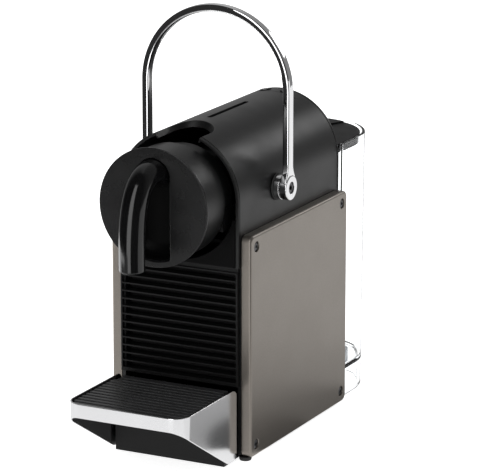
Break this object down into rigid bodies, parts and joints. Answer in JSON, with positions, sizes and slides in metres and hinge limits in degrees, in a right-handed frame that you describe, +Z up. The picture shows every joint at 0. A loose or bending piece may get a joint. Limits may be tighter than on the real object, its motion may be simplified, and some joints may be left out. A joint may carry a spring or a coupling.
{
  "type": "pod coffee machine",
  "caption": "Compact lever-operated pod coffee machine with a sliding brew head, lift-out clear water tank, slide-out drip unit and folding cup support.",
  "frame": {"origin": "bottom centre of the bounding box, on the surface the feet stand on", "axes": "+Z up, -Y towards the user and the cup, +X to the user's right"},
  "size_m": [0.1184, 0.3224, 0.3142],
  "materials": {
    "black_plastic": "moulded, fine texture",
    "satin_black": "satin",
    "gloss_black": "high gloss",
    "titan_metal": "warm grey metallic, satin",
    "chrome": "polished",
    "dark_steel": "blackened",
    "cast_alloy": "as cast",
    "rubber": "matt",
    "grid_plastic": "moulded dark grey",
    "grey_plastic": "moulded",
    "board": "lacquered",
    "hose": "translucent",
    "clear_plastic": "clear, polished"
  },
  "bodies": {
    "root": {"base_plate": "black_plastic", "upper_housing": "satin_black", "front_fascia": "satin_black", "rear_cover": "satin_black", "side_panel_left": "titan_metal", "side_panel_right": "titan_metal", "panel_carrier_left": "black_plastic", "panel_carrier_right": "black_plastic", "panel_screw_l_front_low": "dark_steel", "panel_screw_l_front_top": "dark_steel", "panel_screw_l_rear_low": "dark_steel", "panel_screw_l_rear_top": "dark_steel", "panel_screw_r_front_low": "dark_steel", "panel_screw_r_front_top": "dark_steel", "panel_screw_r_rear_low": "dark_steel", "panel_screw_r_rear_top": "dark_steel", "foot_front_left": "rubber", "foot_front_right": "rubber", "foot_rear_left": "rubber", "foot_rear_right": "rubber", "control_insert": "satin_black", "bulkhead": "black_plastic", "injector": "black_plastic", "thermoblock": "cast_alloy", "thermostat": "cast_alloy", "pump": "dark_steel", "pump_mount": "rubber", "flow_meter": "grey_plastic", "control_board": "board", "hose_tank": "hose", "hose_pump": "hose", "hose_heater": "hose", "tank_socket": "black_plastic", "shaft_bush_left": "grey_plastic", "shaft_bush_right": "grey_plastic", "cord_gland": "rubber"},
    "lever": {"lever_handle": "chrome", "lever_hub_left": "chrome", "lever_hub_right": "chrome", "hub_screw_left": "dark_steel", "hub_screw_right": "dark_steel", "lever_shaft": "dark_steel", "crank_left": "dark_steel", "crank_right": "dark_steel"},
    "brew_head": {"head_drum": "satin_black", "head_disc": "satin_black", "coffee_spout": "gloss_black", "capsule_cage": "black_plastic"},
    "button_left": {"button_left": "satin_black"},
    "button_right": {"button_right": "satin_black"},
    "tank": {"water_tank": "clear_plastic", "tank_valve": "grey_plastic"},
    "tank_lid": {"tank_lid": "satin_black"},
    "drip_unit": {"drip_base": "black_plastic", "capsule_container": "black_plastic"},
    "cup_support": {"cup_support": "chrome", "support_tray": "black_plastic", "support_hinge_rod": "dark_steel"},
    "cup_grid": {"cup_grid": "grid_plastic"}
  },
  "joints": [
    {"name": "lever_swing", "type": "hinge", "parent": "root", "child": "lever", "pos_m": [0, -0.02045, 0.1876], "axis": [1, 0, 0], "range_deg": [0, 90]},
    {"name": "brew_head_slide", "type": "slide", "parent": "root", "child": "brew_head", "axis": [0, 1, 0], "range_m": [0, 0.0201]},
    {"name": "button_left_press", "type": "slide", "parent": "root", "child": "button_left", "axis": [0.1791, 0, -0.9838], "range_m": [0, 0.0012], "stiffness_N_per_m": 500},
    {"name": "button_right_press", "type": "slide", "parent": "root", "child": "button_right", "axis": [-0.1791, 0, -0.9838], "range_m": [0, 0.0012], "stiffness_N_per_m": 500},
    {"name": "tank_lift", "type": "slide", "parent": "root", "child": "tank", "axis": [0, 0, 1], "range_m": [0, 0.21]},
    {"name": "lid_hinge", "type": "hinge", "parent": "tank", "child": "tank_lid", "pos_m": [0, 0.08565, 0.1966], "axis": [1, 0, 0], "range_deg": [0, 85]},
    {"name": "drip_unit_slide", "type": "slide", "parent": "root", "child": "drip_unit", "axis": [0, -1, 0], "range_m": [0, 0.12]},
    {"name": "cup_support_fold", "type": "hinge", "parent": "drip_unit", "child": "cup_support", "pos_m": [0, -0.08875, 0.0469], "axis": [1, 0, 0], "range_deg": [-90, 0]},
    {"name": "grid_lift", "type": "slide", "parent": "cup_support", "child": "cup_grid", "axis": [0, 0, 1], "range_m": [0, 0.06]}
  ],
  "couplings": [
    {"joint": "brew_head_slide", "follows": "lever_swing", "m_per_rad": 0.012732}
  ]
}
